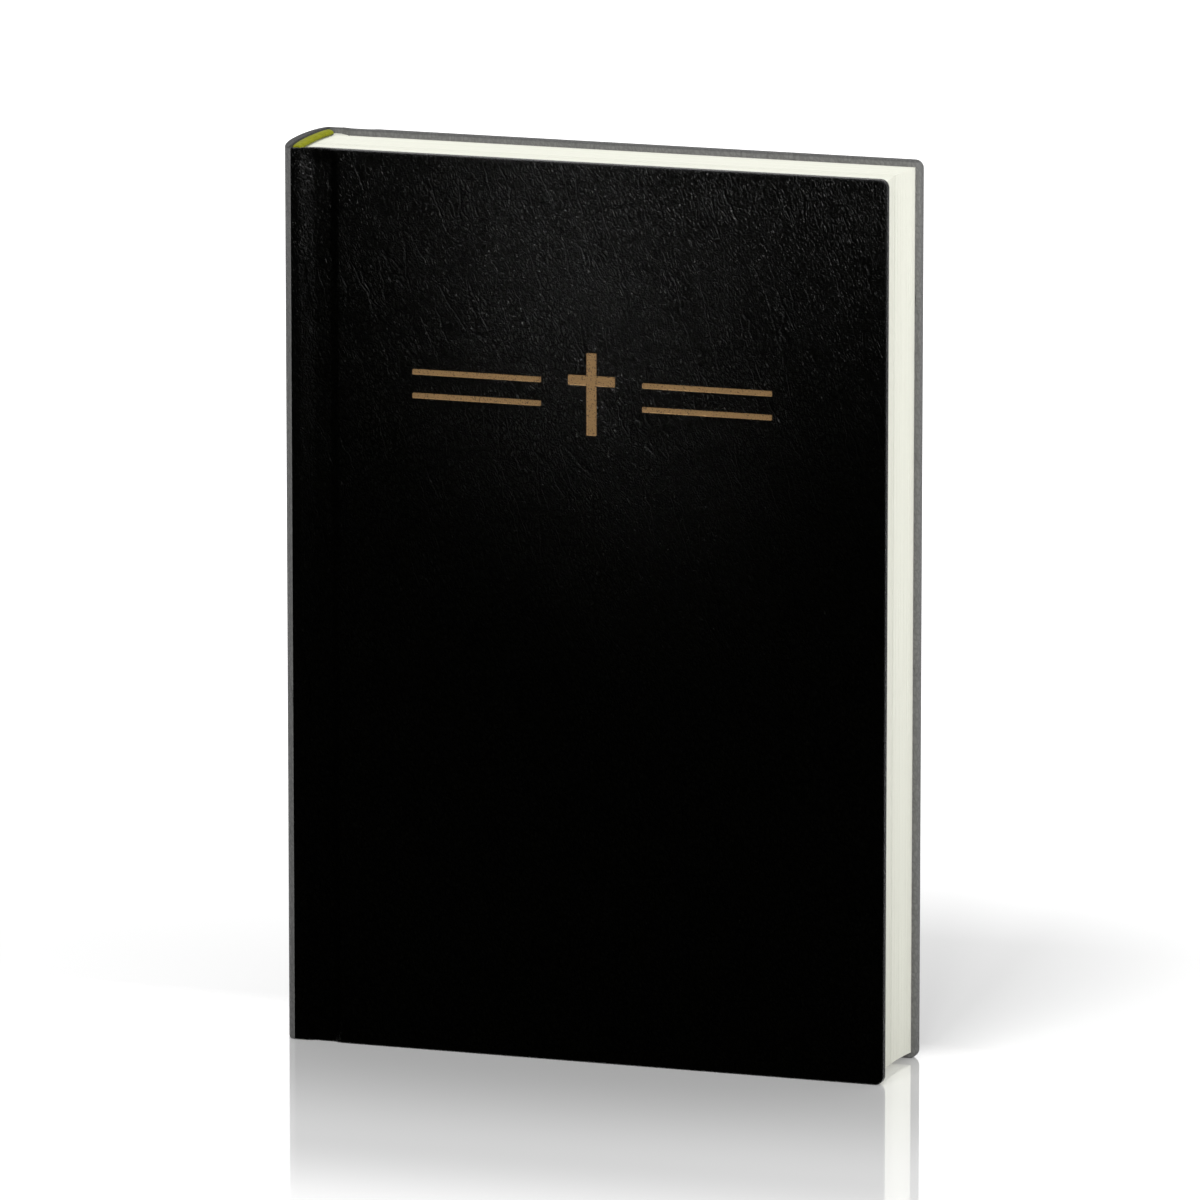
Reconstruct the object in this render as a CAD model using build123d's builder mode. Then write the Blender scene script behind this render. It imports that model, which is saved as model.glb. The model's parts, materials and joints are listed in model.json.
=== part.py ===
from build123d import *
import math
import os

# A case-bound bible: 24 sewn sections, rounded and backed, cased in a stiff two-board cover.
# It stands on its tail. X runs from the spine to the fore edge, Y from the front cover to the
# back cover, Z from tail to head. The origin is at the middle of the footprint, on the surface
# that it stands on. Everything is in millimetres.

os.makedirs("parts", exist_ok=True)

# ---------------------------------------------------------------- driving dimensions
board_height = 213.0
face_width = 144.5              # spine edge of the front face to its fore edge
book_thickness = 30.0           # outside of the front cover to outside of the back cover
spine_bulge = 4.0               # how far the rounded spine stands out behind the faces

covering = 0.4                  # leather-grained covering material
board = 1.8                     # cover board
turn_in = 15.0                  # covering folded over the edges onto the inside of the board
pastedown = 0.15                # endpaper glued to the inside of the board
mull_thickness = 0.2            # open cloth that holds the sewn block in its case
flange_width = 28.0             # mull glued to each board
mull_height = 180.0
corner_radius = 2.0
stiffener = 0.6                 # curved card inside the spine covering
stiffener_stop = 0.9            # how far the card keeps from the faces

joint_start = 2.6               # flat top of the shoulder ridge, from the spine edge
groove_start = 5.1
board_start = 11.5              # spine edge of each board, from the spine edge of the face
groove_rise = 1.9               # from the end of the groove to the board
hinge_setback = 3.5             # from the line that a cover turns on to its board
joint_rounding = (1.2, 0.9, 0.7, 0.2)   # bends of the covering, from the ridge to the board
mull_rounding = (0.6, 0.9)      # bends of the mull under it
mull_offset = 0.2               # how far the mull's bends lie nearer to the spine
shoulder_taper = 0.5            # slant at the foot and the top of the backed shoulder

square = 1.5                    # how far the boards stand past the pages at head and tail
fore_square = 1.4               # the same at the fore edge
fore_hollow = 1.2               # depth of the hollow in the fore edge
block_shoulder = 1.2            # spine edge of the face to the shoulder of the page block
block_round = 2.15              # how far the rounded back of the block stands out
flyleaf = 0.12
sections_per_side = 12
centre_leaf = 0.10
centre_leaves_per_side = 3

cover_play = 0.05               # cover to flyleaf
leaf_gap = 0.03                 # between neighbouring pieces of paper
fold_play = 0.1                 # between a sewn fold and the leaves that turn beside it
glue_gap = 0.02                 # between layers that are glued up
turn_play = 0.02                # spare room between neighbours while they turn
flyleaf_play = 0.12             # more of it between the cover and the flyleaf

thread = 0.2
thread_height = 0.6
sewing_stations = 5
lining = 0.3
lining_short = 5.0              # how far the lining stops short of the head and the tail
band_tape = 0.3
band_tape_height = 14.0
bead_radius = 0.72              # cord along the top of a headband
bead_inset = 0.3                # its centre, inside the rounded back of the block

foil = 0.05
foil_recess = 0.12
emblem_height = 19.0
emblem_arm = 11.0
emblem_stroke = 2.0
emblem_arm_rise = 3.2           # arms above the middle of the upright
rule_length = 31.0
rule_width = 0.9
rule_pitch = 5.6
rule_gap = 12.5                 # middle of the emblem to the near end of each rule
emblem_centre_x = 73.5          # from the spine edge of the face
emblem_centre_z = 159.0

# How far each piece turns when its cover is open to the limit, in degrees
cover_opening = 100.0
flyleaf_opening = 98.0
outer_section_opening = 96.5
inner_section_opening = 87.0
centre_leaf_openings = (74.0, 52.0, 28.0)

# ---------------------------------------------------------------- worked-out places
overall_width = face_width + spine_bulge
spine_edge = spine_bulge - overall_width / 2
fore_edge = overall_width / 2
half = book_thickness / 2
cover_thickness = covering + board + covering + pastedown
page_height = board_height - 2 * square
leaf_half = half - cover_thickness - cover_play
section_half = leaf_half - flyleaf - leaf_gap
centre_half = leaf_gap / 2 + centre_leaves_per_side * (centre_leaf + leaf_gap)
section_pitch = (section_half - centre_half) / sections_per_side
section = section_pitch - leaf_gap
shoulder_x = spine_edge + block_shoulder
back_radius = (leaf_half**2 + block_round**2) / (2 * block_round)
back_centre_x = shoulder_x - block_round + back_radius
board_x = spine_edge + board_start
groove_end_x = board_x - groove_rise
hinge_x = board_x - hinge_setback
groove_depth = board
SIDES = ((-1, "front"), (1, "back"))


def back_x(y, layer=0.0):
    """Rounded back of the page block at y, or a layer that stands that far outside it."""
    return back_centre_x - math.sqrt((back_radius + layer) ** 2 - y**2)


def fore_x(y):
    """Hollow fore edge of the page block at y."""
    return fore_edge - fore_square - fore_hollow * (1 - (y / leaf_half) ** 2)


def cover_plane(side, depth):
    """Plane in a cover, so far beneath its outer face, with its normal pointing out of the book."""
    return Plane(
        origin=(0, side * (half - depth), board_height / 2),
        x_dir=(1, 0, 0),
        z_dir=(0, side, 0),
    )


def cover_rectangle(start, end, height, radius=0.0):
    """Rectangle from start to end along X, with its two fore edge corners rounded."""
    with Locations(((start + end) / 2, 0)):
        outline = Rectangle(end - start, height)
    if radius > 0:
        fillet(outline.vertices().group_by(Axis.X)[-1], radius)
    return outline


def curved_layer(layer, thickness, reach):
    """Layer of even thickness on the rounded back, centred that far out, up to y = +-reach."""
    with BuildLine() as centre_line:
        ThreePointArc(
            (back_x(reach, layer), -reach),
            (back_x(0, layer), 0),
            (back_x(reach, layer), reach),
        )
    trace(centre_line.line, thickness)


def half_ellipse_ring(outer_inset, inner_inset, stop):
    """Ring between two half ellipses that follow the spine, cut off at a distance from the faces."""
    with Locations((spine_edge, 0)):
        Ellipse(spine_bulge - outer_inset, half - outer_inset)
        Ellipse(spine_bulge - inner_inset, half - inner_inset, mode=Mode.SUBTRACT)
    with Locations((spine_edge - stop - book_thickness / 2, 0)):
        Rectangle(book_thickness, 2 * book_thickness, mode=Mode.INTERSECT)


def finish(builder, name):
    """Name a finished piece and write it."""
    builder.part.label = name
    export_step(builder.part, f"parts/{name}.step")


# ---------------------------------------------------------------- where each leaf turns
# The leaves of a side turn one inside the other. A pivot steps away from the spine by the step
# in depth times the tangent of half the opening outside it, so that neighbours never meet.
def leaf_stack():
    """Every turning piece of a side, from the outside in."""
    openings = [flyleaf_opening]
    thicknesses = [flyleaf]
    for index in range(sections_per_side):
        share = index / (sections_per_side - 1)
        openings.append(outer_section_opening + share * (inner_section_opening - outer_section_opening))
        thicknesses.append(section)
    for opening in centre_leaf_openings:
        openings.append(opening)
        thicknesses.append(centre_leaf)
    stack = []
    outer = leaf_half
    x = hinge_x + flyleaf_play
    last_middle = half - cover_thickness
    last_opening = cover_opening
    for opening, thickness in zip(openings, thicknesses):
        middle = outer - thickness / 2
        x += (last_middle - middle) * math.tan(math.radians(last_opening / 2)) + turn_play
        stack.append({"x": x, "y": middle, "thickness": thickness, "opening": opening})
        outer -= thickness + leaf_gap
        last_middle = middle
        last_opening = opening
    return stack


STACK = leaf_stack()
FLYLEAF = STACK[0]
SECTIONS = STACK[1 : 1 + sections_per_side]
CENTRE_LEAVES = STACK[1 + sections_per_side :]


def leaf_outline(side, leaf):
    """Turning part of a leaf or section: round about its pivot, cut to the hollow fore edge."""
    radius = leaf["thickness"] / 2
    outer = leaf["y"] + radius
    inner = leaf["y"] - radius
    with BuildLine() as outline:
        ThreePointArc(
            (leaf["x"], side * outer),
            (leaf["x"] - radius, side * leaf["y"]),
            (leaf["x"], side * inner),
        )
        Polyline(
            (leaf["x"], side * inner),
            (fore_x(inner), side * inner),
            (fore_x(outer), side * outer),
            (leaf["x"], side * outer),
        )
    make_face(outline.edges())


def fold_end(leaf):
    """Where the sewn fold of a leaf or section ends and its turning part begins."""
    return leaf["x"] - leaf["thickness"] / 2 - fold_play


# ---------------------------------------------------------------- the two covers
for side, cover in SIDES:
    board_depth = covering
    inside_depth = covering + board

    # Grey board, stiff and flat
    with BuildPart() as cover_board:
        with BuildSketch(cover_plane(side, board_depth)):
            cover_rectangle(
                board_x, fore_edge - covering, board_height - 2 * covering, corner_radius - covering
            )
        extrude(amount=-board)
    finish(cover_board, f"{cover}_board")

    # Covering over the face and the edges of the board, turned in on three sides
    with BuildPart() as cover_skin:
        with BuildSketch(cover_plane(side, 0)):
            cover_rectangle(board_x, fore_edge, board_height, corner_radius)
        extrude(amount=-(inside_depth + covering))
        with BuildSketch(cover_plane(side, board_depth)):
            cover_rectangle(
                board_x, fore_edge - covering, board_height - 2 * covering, corner_radius - covering
            )
        extrude(amount=-board, mode=Mode.SUBTRACT)
        with BuildSketch(cover_plane(side, inside_depth)):
            cover_rectangle(board_x, fore_edge - turn_in, board_height - 2 * turn_in)
        extrude(amount=-covering, mode=Mode.SUBTRACT)
        if cover == "front":
            with BuildSketch(cover_plane(side, 0)) as emblem:
                middle_x = spine_edge + emblem_centre_x
                middle_z = emblem_centre_z - board_height / 2
                with Locations((middle_x, middle_z)):
                    Rectangle(emblem_stroke, emblem_height)
                with Locations((middle_x, middle_z + emblem_arm_rise)):
                    Rectangle(emblem_arm, emblem_stroke)
                for end in (-1, 1):
                    with Locations((middle_x + end * (rule_gap + rule_length / 2), middle_z)):
                        with GridLocations(0, rule_pitch, 1, 2):
                            Rectangle(rule_length, rule_width)
            extrude(amount=-foil_recess, mode=Mode.SUBTRACT)
    finish(cover_skin, f"{cover}_covering")

    # Mull flange, glued to the inside of the board along the joint
    with BuildPart() as mull_flange:
        with BuildSketch(cover_plane(side, inside_depth)):
            cover_rectangle(board_x, board_x + flange_width, mull_height)
        extrude(amount=-mull_thickness)
    finish(mull_flange, f"{cover}_mull_flange")

    # Pastedown: one sheet that dips from the turn-ins onto the board and steps over the flange
    with BuildPart() as cover_lining:
        with BuildSketch(cover_plane(side, inside_depth + covering)):
            cover_rectangle(board_x, fore_edge - fore_square, page_height)
        extrude(amount=-pastedown)
        with BuildSketch(cover_plane(side, inside_depth)):
            cover_rectangle(board_x, fore_edge - turn_in, board_height - 2 * turn_in)
        extrude(amount=-(covering + pastedown))
        with BuildSketch(cover_plane(side, inside_depth + mull_thickness + pastedown)):
            cover_rectangle(
                board_x, fore_edge - turn_in - pastedown, board_height - 2 * (turn_in + pastedown)
            )
        extrude(amount=-covering, mode=Mode.SUBTRACT)
        with BuildSketch(cover_plane(side, inside_depth + pastedown)):
            cover_rectangle(
                board_x + flange_width + pastedown,
                fore_edge - turn_in - pastedown,
                board_height - 2 * (turn_in + pastedown),
            )
        extrude(amount=-mull_thickness, mode=Mode.SUBTRACT)
        with BuildSketch(cover_plane(side, inside_depth)):
            cover_rectangle(board_x, board_x + flange_width, mull_height)
        extrude(amount=-mull_thickness, mode=Mode.SUBTRACT)
    finish(cover_lining, f"{cover}_pastedown")

# Gilt emblem: a plain cross between two pairs of rules, pressed into the front covering
with BuildPart() as emblem_foil:
    with BuildSketch(cover_plane(-1, foil_recess)):
        add(emblem.sketch_local)
    extrude(amount=foil)
finish(emblem_foil, "front_foil")

# ---------------------------------------------------------------- the spine of the case
with BuildPart() as spine_skin:
    with BuildSketch(Plane.XY):
        half_ellipse_ring(0, covering, 0)
    extrude(amount=board_height)
    lip = 2 * covering + stiffener + 2 * glue_gap
    for bottom, height in ((0, covering), (board_height - covering, covering)):
        with BuildSketch(Plane.XY.offset(bottom)):
            half_ellipse_ring(0, lip, stiffener_stop)
        extrude(amount=height)
    for bottom in (0, board_height - turn_in):
        with BuildSketch(Plane.XY.offset(bottom)):
            half_ellipse_ring(lip - covering, lip, stiffener_stop)
        extrude(amount=turn_in)
finish(spine_skin, "spine_covering")

with BuildPart() as spine_card:
    with BuildSketch(Plane.XY.offset(covering + glue_gap)):
        half_ellipse_ring(covering + glue_gap, covering + glue_gap + stiffener, stiffener_stop)
    extrude(amount=board_height - 2 * (covering + glue_gap))
finish(spine_card, "spine_stiffener")

# ---------------------------------------------------------------- the two joints
for side, cover in SIDES:
    # Covering over the shoulder ridge and down into the groove, as far as the board
    with BuildPart() as joint_skin:
        with BuildSketch(Plane.XY):
            with BuildLine() as fall:
                ridge_y = side * (half - covering / 2)
                groove_y = side * (half - groove_depth - covering / 2)
                FilletPolyline(
                    (spine_edge, ridge_y),
                    (spine_edge + joint_start, ridge_y),
                    (spine_edge + groove_start, groove_y),
                    (groove_end_x, groove_y),
                    (board_x - covering, ridge_y),
                    (board_x - glue_gap, ridge_y),
                    radius=joint_rounding,
                )
            trace(fall.line, covering)
        extrude(amount=board_height)
    finish(joint_skin, f"{cover}_joint_covering")

    # Mull across the joint, from the top of the ridge to the edge of the board
    with BuildPart() as mull_hinge:
        with BuildSketch(Plane.XY.offset((board_height - mull_height) / 2)):
            with BuildLine() as fall:
                ridge_y = side * (half - covering - glue_gap - mull_thickness / 2)
                groove_y = side * (half - covering - board - mull_thickness / 2)
                FilletPolyline(
                    (spine_edge + block_shoulder / 2, ridge_y),
                    (spine_edge + joint_start - mull_offset, ridge_y),
                    (spine_edge + groove_start - mull_offset, groove_y),
                    (board_x - glue_gap, groove_y),
                    radius=mull_rounding,
                )
            trace(fall.line, mull_thickness)
        extrude(amount=mull_height)
    finish(mull_hinge, f"{cover}_mull_hinge")

    # Endpaper across the joint: from the pastedown to its fold at the shoulder, and back as the
    # root of the flyleaf
    with BuildPart() as endpaper:
        with BuildSketch(Plane.XY.offset(square)):
            outer = half - covering - board - mull_thickness
            root_outer = FLYLEAF["y"] + flyleaf / 2
            root_inner = FLYLEAF["y"] - flyleaf / 2
            with BuildLine():
                Polyline(
                    (board_x - glue_gap, side * outer),
                    (spine_edge + groove_start, side * outer),
                    (spine_edge + groove_start, side * root_inner),
                    (fold_end(FLYLEAF), side * root_inner),
                    (fold_end(FLYLEAF), side * root_outer),
                    (spine_edge + groove_start + pastedown, side * root_outer),
                    (spine_edge + groove_start + pastedown, side * (outer - pastedown)),
                    (board_x - glue_gap, side * (outer - pastedown)),
                    close=True,
                )
            make_face()
        extrude(amount=page_height)
    finish(endpaper, f"{cover}_endpaper_hinge")

# ---------------------------------------------------------------- the sewn block
# Sewn folds of all the sections. The outermost on each side flares out into the shoulder ridge.
with BuildPart() as folds:
    with BuildSketch(Plane.XY.offset(square)):
        for side, cover in SIDES:
            for index, leaf in enumerate(SECTIONS + CENTRE_LEAVES):
                outer = leaf["y"] + leaf["thickness"] / 2
                inner = leaf["y"] - leaf["thickness"] / 2
                end = fold_end(leaf)
                swell = leaf["thickness"] / 4
                with BuildLine():
                    ThreePointArc(
                        (back_x(outer) + swell, side * outer),
                        (back_x(leaf["y"]), side * leaf["y"]),
                        (back_x(inner) + swell, side * inner),
                    )
                    Polyline(
                        (back_x(inner) + swell, side * inner),
                        (end, side * inner),
                        (end, side * outer),
                    )
                    if index == 0:
                        ridge = half - covering - 2 * glue_gap - mull_thickness
                        foot = spine_edge + groove_start - mull_thickness
                        Polyline(
                            (end, side * outer),
                            (foot, side * outer),
                            (foot - shoulder_taper, side * (half - board - covering - shoulder_taper)),
                            (spine_edge + joint_start - shoulder_taper, side * ridge),
                            (spine_edge + block_shoulder / 2, side * ridge),
                            (back_x(outer) + swell, side * outer),
                        )
                    else:
                        Line((end, side * outer), (back_x(outer) + swell, side * outer))
                make_face()
    extrude(amount=page_height)
finish(folds, "section_folds")

# Thread across the folds at each sewing station
with BuildPart() as sewing:
    for station in range(sewing_stations):
        height = board_height / 2 + (station - (sewing_stations - 1) / 2) * mull_height / sewing_stations
        with BuildSketch(Plane.XY.offset(height - thread_height / 2)):
            curved_layer(glue_gap + thread / 2, thread, section_half)
        extrude(amount=thread_height)
finish(sewing, "sewing_thread")

# Mull over the back of the block
mull_layer = glue_gap + thread + glue_gap
with BuildPart() as mull:
    with BuildSketch(Plane.XY.offset((board_height - mull_height) / 2)):
        curved_layer(mull_layer + mull_thickness / 2, mull_thickness, leaf_half)
    extrude(amount=mull_height)
finish(mull, "mull")

# Paper lining over the mull and the tapes of the headbands
lining_layer = max(mull_layer + mull_thickness, glue_gap + band_tape) + glue_gap
with BuildPart() as back_lining:
    with BuildSketch(Plane.XY.offset(square + lining_short)):
        curved_layer(lining_layer + lining / 2, lining, leaf_half)
    extrude(amount=page_height - 2 * lining_short)
finish(back_lining, "spine_lining")

# Headbands: a tape glued to the back of the block, with a cord that lies on the ends of the pages
for end, name in ((-1, "tail_band"), (1, "head_band")):
    pages_end = board_height / 2 + end * page_height / 2
    cord_z = pages_end + end * (glue_gap + bead_radius)
    with BuildPart() as band:
        with BuildSketch(Plane.XY.offset(min(pages_end - end * band_tape_height, cord_z))):
            curved_layer(glue_gap + band_tape / 2, band_tape, section_half - bead_radius)
        extrude(amount=abs(cord_z - pages_end) + band_tape_height)
        reach = section_half - bead_radius
        with BuildLine() as cord_line:
            ThreePointArc(
                (back_x(reach, -bead_inset), -reach, cord_z),
                (back_x(0, -bead_inset), 0, cord_z),
                (back_x(reach, -bead_inset), reach, cord_z),
            )
        with BuildSketch(Plane(origin=cord_line.line @ 0, z_dir=cord_line.line % 0)):
            Circle(bead_radius)
        sweep(path=cord_line.line)
    finish(band, name)

# ---------------------------------------------------------------- the leaves that turn
for side, cover in SIDES:
    with BuildPart() as free_endpaper:
        with BuildSketch(Plane.XY.offset(square)):
            leaf_outline(side, FLYLEAF)
        extrude(amount=page_height)
    finish(free_endpaper, f"{cover}_flyleaf")

    for index, leaf in enumerate(SECTIONS):
        number = index + 1 if cover == "front" else 2 * sections_per_side - index
        with BuildPart() as pages:
            with BuildSketch(Plane.XY.offset(square)):
                leaf_outline(side, leaf)
            extrude(amount=page_height)
        finish(pages, f"section_{number:02d}")

    for index, leaf in enumerate(CENTRE_LEAVES):
        with BuildPart() as single_leaf:
            with BuildSketch(Plane.XY.offset(square)):
                leaf_outline(side, leaf)
            extrude(amount=page_height)
        finish(single_leaf, f"{cover}_centre_leaf_{index + 1}")
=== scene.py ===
import json
import math

import bmesh
import bpy
import numpy as np
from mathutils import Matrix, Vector


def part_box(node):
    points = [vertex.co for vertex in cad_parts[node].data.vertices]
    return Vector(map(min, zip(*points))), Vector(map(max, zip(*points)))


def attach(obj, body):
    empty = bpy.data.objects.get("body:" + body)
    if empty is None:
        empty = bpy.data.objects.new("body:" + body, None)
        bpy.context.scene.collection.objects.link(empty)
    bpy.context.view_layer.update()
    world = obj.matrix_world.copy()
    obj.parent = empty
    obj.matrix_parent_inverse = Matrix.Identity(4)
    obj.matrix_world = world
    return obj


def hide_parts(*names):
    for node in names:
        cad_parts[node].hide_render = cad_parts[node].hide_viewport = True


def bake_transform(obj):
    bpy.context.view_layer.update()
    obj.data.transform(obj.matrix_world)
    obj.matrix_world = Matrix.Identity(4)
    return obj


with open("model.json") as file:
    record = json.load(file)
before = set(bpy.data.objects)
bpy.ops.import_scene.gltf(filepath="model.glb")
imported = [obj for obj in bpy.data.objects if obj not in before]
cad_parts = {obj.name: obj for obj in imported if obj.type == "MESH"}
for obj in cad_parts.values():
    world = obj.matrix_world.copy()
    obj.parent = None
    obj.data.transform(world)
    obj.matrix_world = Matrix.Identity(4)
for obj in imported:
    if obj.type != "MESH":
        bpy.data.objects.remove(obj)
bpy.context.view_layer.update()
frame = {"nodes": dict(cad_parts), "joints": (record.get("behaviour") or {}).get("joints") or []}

# ==================================================================== the sewn sections
# Twenty-four sections of thin cream paper, each a nest of sheets folded once and sewn through the
# fold. The block is rounded at the back, and its hollow fore edge is the other side of that.
MM = 0.001
STRIPS = 16                      # visible leaf edges across one section, in pairs
NOTCH = 0.02 * MM                # how far every other leaf edge lies back
FOLD_SWELL = 0.23 * MM           # rounding of a section's fold
BACK_ROUND = 2.15 * MM           # how far the rounded back stands out
BEND = 5.0 * MM                  # length over which the paper bends in the gutter
PAPER = (0.88, 0.885, 0.79)
PAPER_SHADE = (0.74, 0.74, 0.65)
INNER_MARGIN = 13 * MM           # from the line a leaf turns on to its print
OUTER_MARGIN = 11 * MM
FOOT, TOP = 17 * MM, 195 * MM    # lowest and highest print
COLUMN_GAP = 1.5 * MM            # half the gap between the two columns
LINE_PITCH = 2.4 * MM
SHARP = 0.1 * MM                 # softness of the edges of the print
PRINT_WEIGHT = 2.2

chance = np.random.default_rng(12)
turns_at = {joint["child"]: Vector(joint["pos_m"]) for joint in frame["joints"]}
pages_low, pages_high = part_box("front_flyleaf")
half_block = -pages_low.y
fore_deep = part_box("front_centre_leaf_3")[1].x
back_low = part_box("section_folds")[0].x
back_radius = (half_block**2 + BACK_ROUND**2) / (2 * BACK_ROUND)
back_middle = back_low + back_radius


def back_x(y, layer=0.0):
    """Rounded back of the block, a circle: x = middle - sqrt((radius + layer)^2 - y^2)."""
    return back_middle - np.sqrt((back_radius + layer) ** 2 - np.square(y))


def fore_x(y):
    """Hollow fore edge, a parabola: x = deepest + (corner - deepest) * (y / half thickness)^2."""
    return fore_deep + (pages_high.x - fore_deep) * np.square(y / half_block)


def grid_quads(rows, columns, closed, first):
    """Quads of a grid: point (r, c) with (r, c + 1), (r + 1, c + 1) and (r + 1, c)."""
    row = np.arange(rows - 1)[:, None] * columns
    column = np.arange(columns if closed else columns - 1)[None, :]
    beside = (column + 1) % columns
    corners = [row + column, row + beside, row + columns + beside, row + columns + column]
    return first + np.stack(corners, axis=-1).reshape(-1, 4)


def make_piece(name, grids, caps=(), crease=35.0):
    """One closed mesh from grids of points and flat caps; edges steeper than crease stay crisp.
    Each point keeps where it was made, so that a pattern bends with the piece."""
    points, faces, first = [], [], 0
    for grid, closed in grids:
        rows, columns = grid.shape[:2]
        points.append(grid.reshape(-1, 3))
        faces += grid_quads(rows, columns, closed, first).tolist()
        first += rows * columns
    for cap in caps:
        points.append(cap)
        faces.append(list(range(first, first + len(cap))))
        first += len(cap)
    mesh = bpy.data.meshes.new(name)
    mesh.from_pydata(np.concatenate(points).tolist(), [], faces)
    shape = bmesh.new()
    shape.from_mesh(mesh)
    bmesh.ops.remove_doubles(shape, verts=shape.verts, dist=0.0002 * MM)
    bmesh.ops.dissolve_degenerate(shape, edges=shape.edges, dist=0.0002 * MM)
    bmesh.ops.recalc_face_normals(shape, faces=shape.faces)
    for face in shape.faces:
        face.smooth = True
    for edge in shape.edges:
        edge.smooth = edge.calc_face_angle(0.0) < math.radians(crease)
    shape.to_mesh(mesh)
    shape.free()
    place = np.empty(len(mesh.vertices) * 3)
    mesh.vertices.foreach_get("co", place)
    mesh.attributes.new("made_at", "FLOAT_VECTOR", "POINT").data.foreach_set("vector", place)
    piece = bpy.data.objects.new(name, mesh)
    bpy.context.scene.collection.objects.link(piece)
    return piece


def leaf_grids(y_outer, y_inner, start, turn_x, strips, notch, trim=(0.0, 0.0, 0.0)):
    """Folded sheets as a ring of points round their head, inside, tail and outside, carried
    from the fold to the fore edge: x runs from start(y) past turn_x to the hollow fore edge."""
    across = np.linspace(0, 1, strips + 1)
    y = y_outer + (y_inner - y_outer) * across
    back = notch * (np.arange(strips + 1) % 2)
    begin = start(y, across)
    end = fore_x(y) - back - trim[0]
    root = begin + (turn_x - begin) * np.array([0, 0.5, 1])[:, None]
    bend = np.broadcast_to((turn_x + BEND * np.linspace(0, 1, 11)[1:])[:, None], (10, len(y)))
    free = bend[-1] + (end - bend[-1]) * np.array([0.33, 0.67, 1])[:, None]
    x = np.concatenate([root, bend, free])
    level = np.broadcast_to(y, x.shape)
    head = np.stack([x, level, np.broadcast_to(pages_high.z - back - trim[1], x.shape)], axis=-1)
    tail = np.stack([x, level, np.broadcast_to(pages_low.z + back + trim[2], x.shape)], axis=-1)
    ring = np.concatenate([head, tail[:, ::-1]], axis=1)
    ends = [np.stack([head[i], tail[i]]) for i in (0, -1)]
    return [(ring, True), (ends[0], False), (ends[1], False)]


class Wire:
    """A node's output that Python's operators work on; each operator adds one Math node."""

    def __init__(self, tree, socket=None):
        self.tree = tree
        self.socket = socket

    def node(self, kind, inputs=None, output=0, **settings):
        """Add a node: its settings first, then the values or links of its sockets."""
        made = self.tree.nodes.new(kind)
        for setting, value in settings.items():
            setattr(made, setting, value)
        for socket, value in (inputs or {}).items():
            if isinstance(value, Wire):
                self.tree.links.new(value.socket, made.inputs[socket])
            else:
                made.inputs[socket].default_value = value
        return Wire(self.tree, made.outputs[output])

    def maths(self, operation, *values):
        """One Math node on these values in their order, or on this wire alone."""
        sockets = dict(enumerate(values or (self,)))
        return self.node("ShaderNodeMath", sockets, operation=operation)

    def __add__(self, other):
        return self.maths("ADD", self, other)

    def __sub__(self, other):
        return self.maths("SUBTRACT", self, other)

    def __mul__(self, other):
        return self.maths("MULTIPLY", self, other)

    def __radd__(self, other):
        return self.maths("ADD", other, self)

    def __rsub__(self, other):
        return self.maths("SUBTRACT", other, self)

    def __rmul__(self, other):
        return self.maths("MULTIPLY", other, self)

    def rise(self, low, high):
        """0 below low, 1 above high, and a smooth step between them."""
        sockets = {"Value": self, "From Min": low, "From Max": high}
        return self.node("ShaderNodeMapRange", sockets, interpolation_type="SMOOTHSTEP")

    def colours(self, low, high):
        """Mix of two colours by this value; each is three numbers or a wire."""
        low, high = (c if isinstance(c, Wire) else (*c, 1) for c in (low, high))
        return self.node("ShaderNodeMix", {0: self, 6: low, 7: high}, output=2, data_type="RGBA")

    def along(self, axis):
        """One of these coordinates: 0, 1 or 2 for X, Y or Z."""
        return self.node("ShaderNodeSeparateXYZ", {0: self}, output=axis)

    def placed(self, scale=(1, 1, 1), turn=(0, 0, 0)):
        """The pattern's coordinates, stretched and turned."""
        return self.node("ShaderNodeMapping", {0: self, "Scale": scale, "Rotation": turn})

    def noise(self, scale, detail=3.0, rough=0.55):
        """Cloudy noise from 0 to 1 at these coordinates."""
        sockets = {"Vector": self, "Scale": scale, "Detail": detail, "Roughness": rough}
        return self.node("ShaderNodeTexNoise", sockets)

    def cells(self, scale):
        """Random cells: the distance to the nearest cell wall."""
        sockets = {"Vector": self, "Scale": scale}
        return self.node("ShaderNodeTexVoronoi", sockets, feature="DISTANCE_TO_EDGE")

    def shifted(self, scale, reach):
        """These coordinates pushed about by noise, as far as reach."""
        push = self.node("ShaderNodeTexNoise", {"Vector": self, "Scale": scale}, output=1)
        centred = self.node(
            "ShaderNodeVectorMath", {0: push, 1: (-0.5, -0.5, -0.5)}, operation="ADD"
        )
        scaled = self.node(
            "ShaderNodeVectorMath", {0: centred, "Scale": 2 * reach}, operation="SCALE"
        )
        return self.node("ShaderNodeVectorMath", {0: self, 1: scaled}, operation="ADD")


def new_finish(name, stiff=False):
    """A material, its coordinates and its surface shader. The coordinates are where a piece's
    points were made, or a stiff CAD piece's own."""
    finish = bpy.data.materials.new(name)
    finish.use_nodes = True
    tree = finish.node_tree
    shader = tree.nodes["Principled BSDF"]
    if stiff:
        return finish, Wire(tree).node("ShaderNodeTexCoord", output=3), shader
    place = Wire(tree).node("ShaderNodeAttribute", output=1, attribute_name="made_at")
    return finish, place, shader


def feed(shader, socket, wire):
    """Link a wire to a socket of a surface shader."""
    wire.tree.links.new(wire.socket, shader.inputs[socket])


def bump(shader, height, depth):
    """Relief in a surface: height 0 to 1 stands for that depth in metres."""
    feed(shader, "Normal", height.node("ShaderNodeBump", {"Height": height, "Distance": depth}))


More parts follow.
